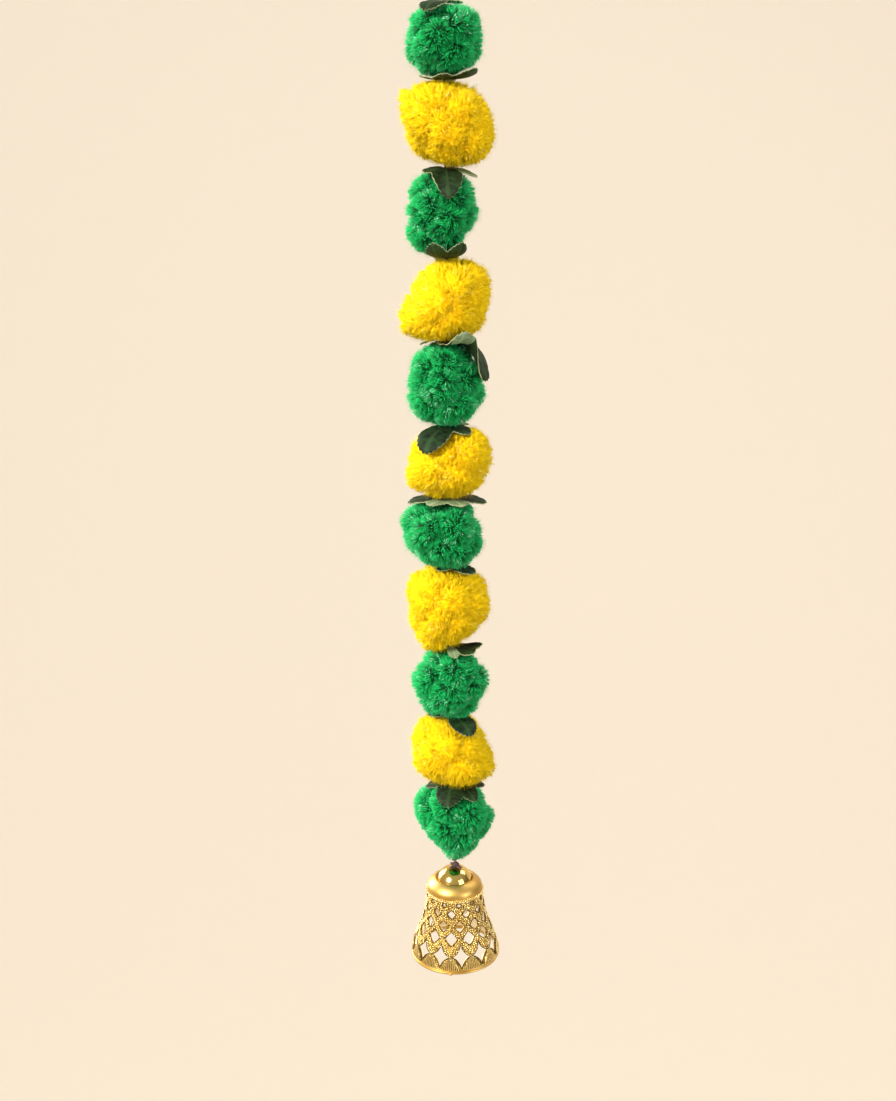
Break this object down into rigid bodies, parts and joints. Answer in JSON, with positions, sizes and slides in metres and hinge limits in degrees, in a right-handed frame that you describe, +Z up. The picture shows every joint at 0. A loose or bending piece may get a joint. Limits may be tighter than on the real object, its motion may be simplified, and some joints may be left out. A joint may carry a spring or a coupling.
{
  "type": "pompom marigold garland",
  "caption": "Hanging garland strand of cut-yarn pompoms in green and golden yellow that stand for marigolds, with cloth leaf pieces between them and a pierced gold bell on a bead at its foot",
  "frame": {"origin": "the inner crown of the hanging loop, on the thread's axis", "axes": "+Z up along the hanging thread, -Y the side that faces the viewer, +X to the viewer's right"},
  "size_m": [0.052, 0.052, 0.5932],
  "materials": {
    "green_yarn": "cut acrylic yarn, brushed fibre ends",
    "yellow_yarn": "cut acrylic yarn, brushed fibre ends",
    "leaf_cloth": "stiffened stamped cloth, dark green above and pale sage below, cut edges",
    "thread": "twisted cotton thread",
    "gold_bead": "mirror gold plating on plastic",
    "gold_bell": "satin gold plating on moulded plastic"
  },
  "bodies": {
    "strand": {"thread": "thread", "pompom_green_1": "green_yarn", "pompom_yellow_1": "yellow_yarn", "pompom_green_2": "green_yarn", "pompom_yellow_2": "yellow_yarn", "pompom_green_3": "green_yarn", "pompom_yellow_3": "yellow_yarn", "pompom_green_4": "green_yarn", "pompom_yellow_4": "yellow_yarn", "pompom_green_5": "green_yarn", "pompom_yellow_5": "yellow_yarn", "pompom_green_6": "green_yarn", "tie_1": "thread", "tie_2": "thread", "tie_3": "thread", "tie_4": "thread", "tie_5": "thread", "tie_6": "thread", "tie_7": "thread", "tie_8": "thread", "tie_9": "thread", "tie_10": "thread", "tie_11": "thread", "leaf_1": "leaf_cloth", "leaf_2": "leaf_cloth", "leaf_3": "leaf_cloth", "leaf_4": "leaf_cloth", "leaf_5": "leaf_cloth", "leaf_6": "leaf_cloth", "leaf_7": "leaf_cloth", "leaf_8": "leaf_cloth", "leaf_9": "leaf_cloth", "leaf_10": "leaf_cloth", "leaf_11": "leaf_cloth"},
    "bead_drop": {"bell_thread": "thread", "bead": "gold_bead"},
    "bell": {"bell": "gold_bell"}
  },
  "joints": [
    {"name": "bell_swing", "type": "hinge", "parent": "strand", "child": "bead_drop", "pos_m": [0, 0, -0.5293], "axis": [0, 1, 0], "range_deg": [-65, 65]},
    {"name": "bell_tip", "type": "hinge", "parent": "bead_drop", "child": "bell", "pos_m": [0, 0, -0.5446], "axis": [1, 0, 0], "range_deg": [-40, 40]}
  ]
}
